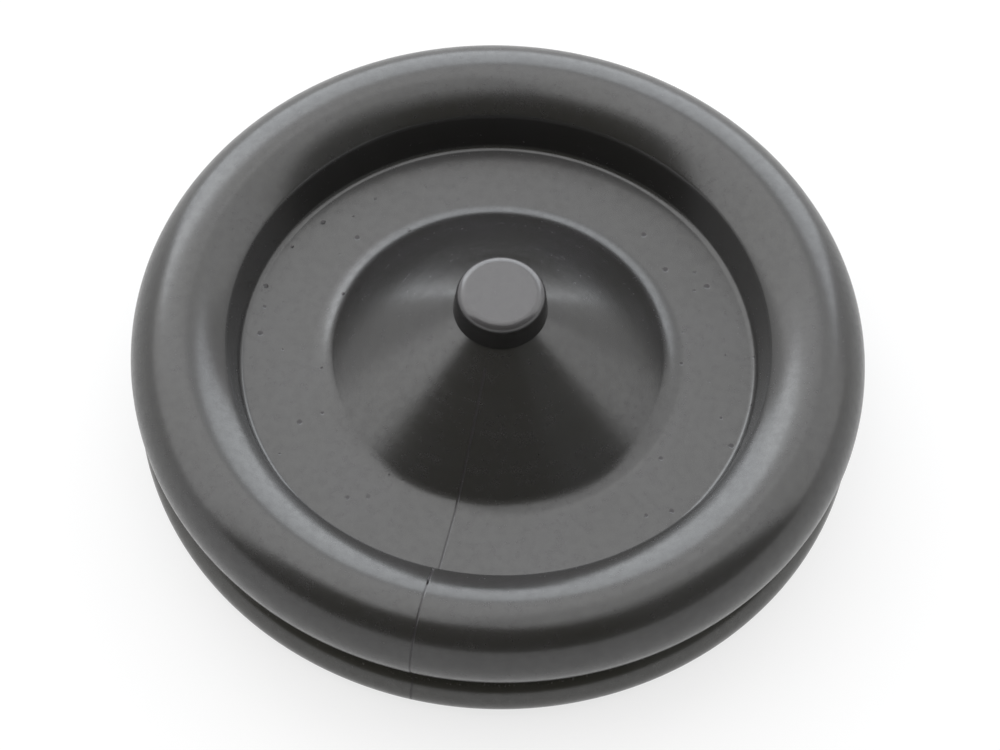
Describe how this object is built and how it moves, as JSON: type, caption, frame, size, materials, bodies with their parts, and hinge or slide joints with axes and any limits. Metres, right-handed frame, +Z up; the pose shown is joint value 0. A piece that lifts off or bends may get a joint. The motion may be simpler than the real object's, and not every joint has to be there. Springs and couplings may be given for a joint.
{
  "type": "closed rubber grommet",
  "caption": "Closed rubber grommet for a round panel hole: round bead, panel groove, lower lip and a thin web with a hollow cone that is cut open to pass a cable.",
  "frame": {"origin": "centre of the grommet's axis on the flat underside that it rests on", "axes": "+Z up along the axis, from the underside towards the nipple; the piece is round about Z"},
  "size_m": [0.04, 0.04, 0.0115],
  "materials": {
    "rubber": "dark grey-black moulded rubber, satin, with a soft broad sheen"
  },
  "bodies": {
    "root": {"grommet": "rubber"}
  },
  "joints": []
}
